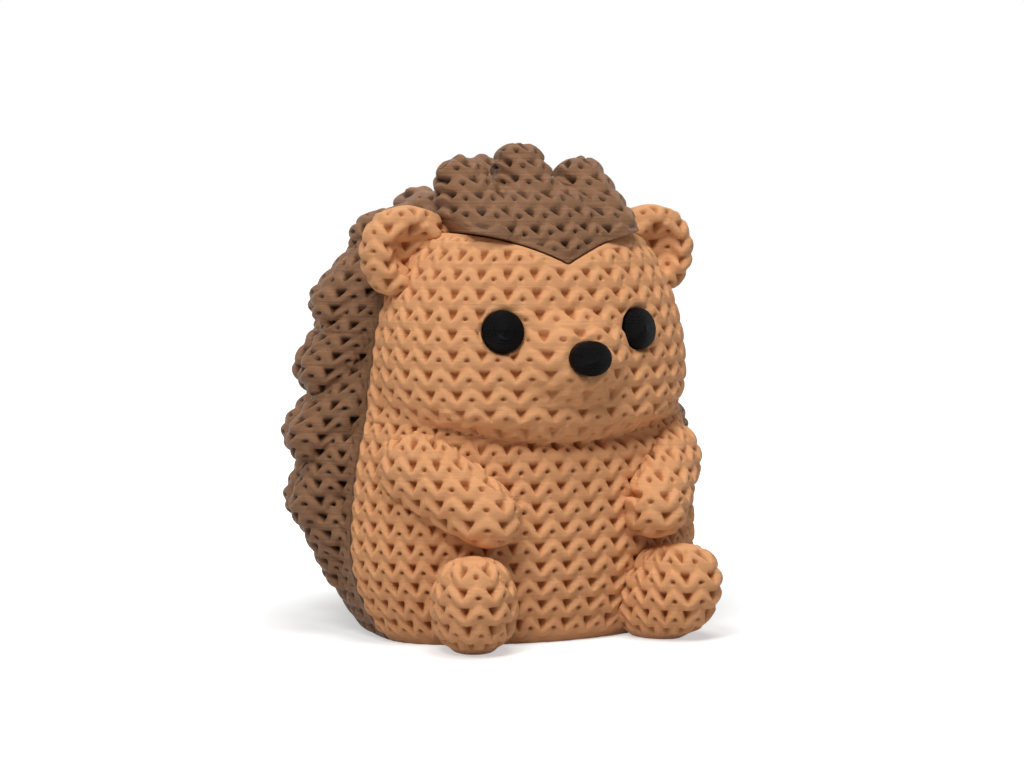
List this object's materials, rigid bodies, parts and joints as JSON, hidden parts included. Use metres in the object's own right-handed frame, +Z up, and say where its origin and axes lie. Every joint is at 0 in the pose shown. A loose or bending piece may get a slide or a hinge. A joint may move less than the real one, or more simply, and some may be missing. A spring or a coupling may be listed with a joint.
{
  "type": "hedgehog figurine",
  "caption": "Sitting hedgehog figurine in tan and brown printed plastic with a knitted look and a quill back that comes off.",
  "frame": {"origin": "middle of the body's flat base, on the floor, on the mirror plane", "axes": "+Z up, the figure faces -Y, +X towards the figure's left"},
  "size_m": [0.0846, 0.0844, 0.0924],
  "materials": {
    "tan_print": "satin print with fine level layer lines",
    "brown_print": "matte print with fine level layer lines",
    "black_print": "matte print with rings of layer lines"
  },
  "bodies": {
    "figure": {"body": "tan_print", "ear_left": "tan_print", "ear_right": "tan_print", "arm_left": "tan_print", "arm_right": "tan_print", "foot_left": "tan_print", "foot_right": "tan_print", "eye_left": "black_print", "eye_right": "black_print", "nose": "black_print", "quill_dowels": "tan_print"},
    "quill_back": {"quill_shell": "brown_print"}
  },
  "joints": [
    {"name": "quill_pull", "type": "slide", "parent": "figure", "child": "quill_back", "axis": [0, 1, 0], "range_m": [0, 0.045]}
  ]
}
